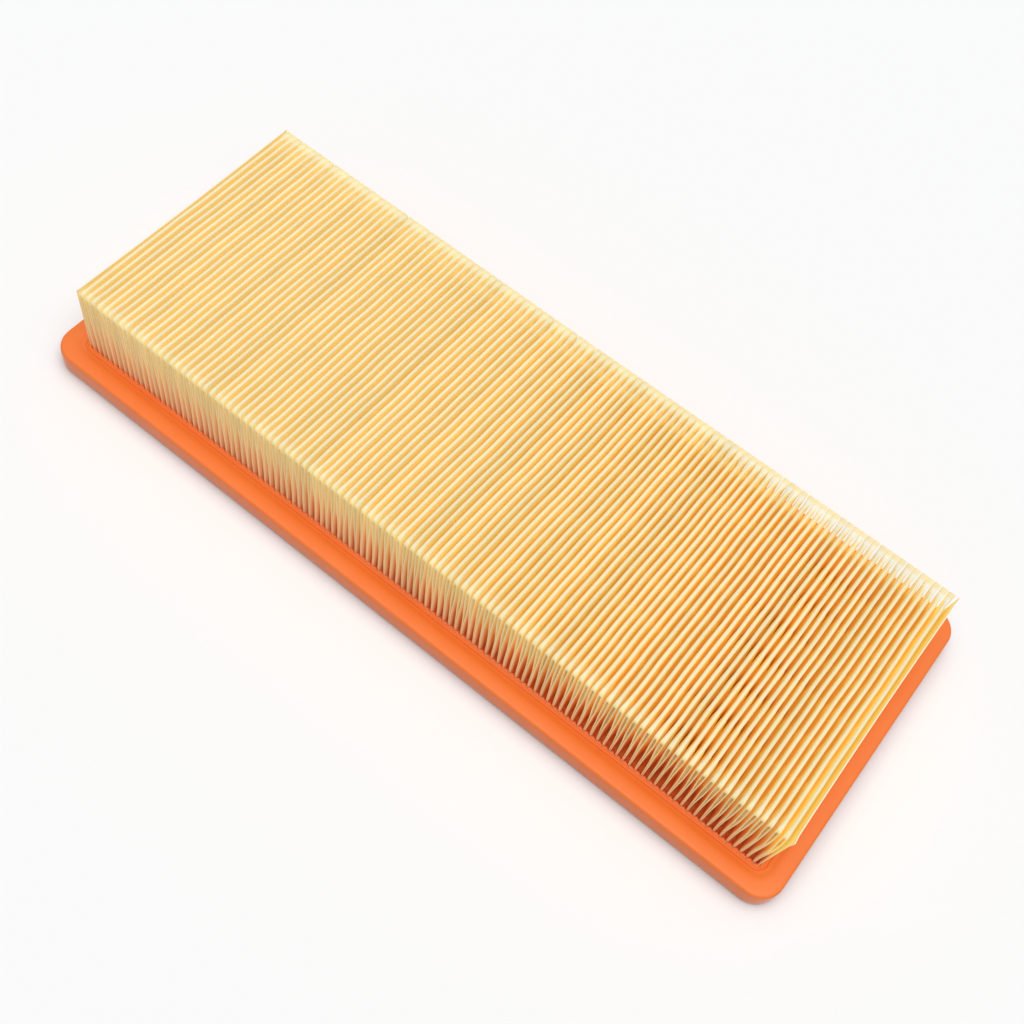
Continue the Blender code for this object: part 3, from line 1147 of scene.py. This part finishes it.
@dataclass
class Studio:
    """A pale floor, soft light all round and a camera at the photograph's angle."""

    floor_size: float = 12.0
    ambient: float = 0.33
    backdrop: float = 0.972
    lamp_energy: float = 2.10
    lamp_spread_deg: float = 60.0
    lamp_from: Triple = (0.12, -0.12, 1.0)
    eye_mm: Triple = (99.490, -196.429, 375.488)
    right: Triple = (0.783049, 0.609592, 0.123412)
    down: Triple = (0.584328, -0.653070, -0.481727)
    lens_mm: float = 47.48
    sensor_mm: float = 36.0

    def build(self) -> None:
        """Set up the floor, the lights and the camera."""
        self.floor()
        self.lights()
        self.camera()

    def floor(self) -> None:
        """Lay the floor just under the part."""
        half, drop = self.floor_size / 2, -0.1 * MM
        mesh = bpy.data.meshes.new("studio_floor")
        corners = [(-half, -half, drop), (half, -half, drop), (half, half, drop), (-half, half, drop)]
        mesh.from_pydata(corners, [], [(0, 1, 2, 3)])
        mesh.materials.append(FloorFinish().material())
        made = bpy.data.objects.new("studio_floor", mesh)
        bpy.context.scene.collection.objects.link(made)

    def lights(self) -> None:
        """Light the part evenly from all round, with a broad soft lamp above."""
        world = bpy.data.worlds.new("studio")
        bpy.context.scene.world = world
        tree = Tree(world)
        light = tree.node("ShaderNodeBackground", None, {"Color": (1, 1, 1, 1), "Strength": self.ambient})
        white = tree.node("ShaderNodeBackground", None, {"Color": (1, 1, 1, 1), "Strength": self.backdrop})
        mixed = tree.node("ShaderNodeMixShader", None, {0: seen_directly(tree), 1: light, 2: white})
        tree.node_output("ShaderNodeOutputWorld", mixed)
        lamp = bpy.data.lights.new("soft_lamp", "SUN")
        lamp.energy = self.lamp_energy
        lamp.angle = math.radians(self.lamp_spread_deg)
        made = bpy.data.objects.new("soft_lamp", lamp)
        made.rotation_mode = "QUATERNION"
        made.rotation_quaternion = Vector(self.lamp_from).to_track_quat("Z", "Y")
        bpy.context.scene.collection.objects.link(made)

    def camera(self) -> None:
        """Put the camera where the photograph was taken from."""
        right, down = Vector(self.right).normalized(), Vector(self.down).normalized()
        back = right.cross(-down)
        data = bpy.data.cameras.new("photo_view")
        data.lens, data.sensor_width = self.lens_mm, self.sensor_mm
        data.clip_start, data.clip_end = 0.01, 50.0
        made = bpy.data.objects.new("photo_view", data)
        turned = Matrix((right, -down, back)).transposed().to_4x4()
        turned.translation = Vector(self.eye_mm) * MM
        made.matrix_world = turned
        bpy.context.scene.collection.objects.link(made)
        bpy.context.scene.camera = made


def main() -> None:
    """Build the filter piece by piece, then the studio."""
    logging.basicConfig(level=logging.INFO, format="%(name)s: %(message)s")
    bpy.context.scene.view_settings.view_transform = "Standard"
    pack = PleatPack()
    paper = pack.build()
    pack.dress(paper)
    LOG.info("%s: %d faces", paper.name, len(paper.data.polygons))
    seal_frame = SealFrame()
    cast = seal_frame.build(pack)
    seal_frame.dress(cast)
    LOG.info("%s: %d faces", cast.name, len(cast.data.polygons))
    glue = HotMeltFinish().material()
    for edge in Edge:
        seal = EdgeSeal(edge)
        bead = seal.build(pack)
        seal.dress(bead, glue)
        LOG.info("%s: %d faces", bead.name, len(bead.data.polygons))
    Studio().build()


if __name__ == "__main__":
    main()
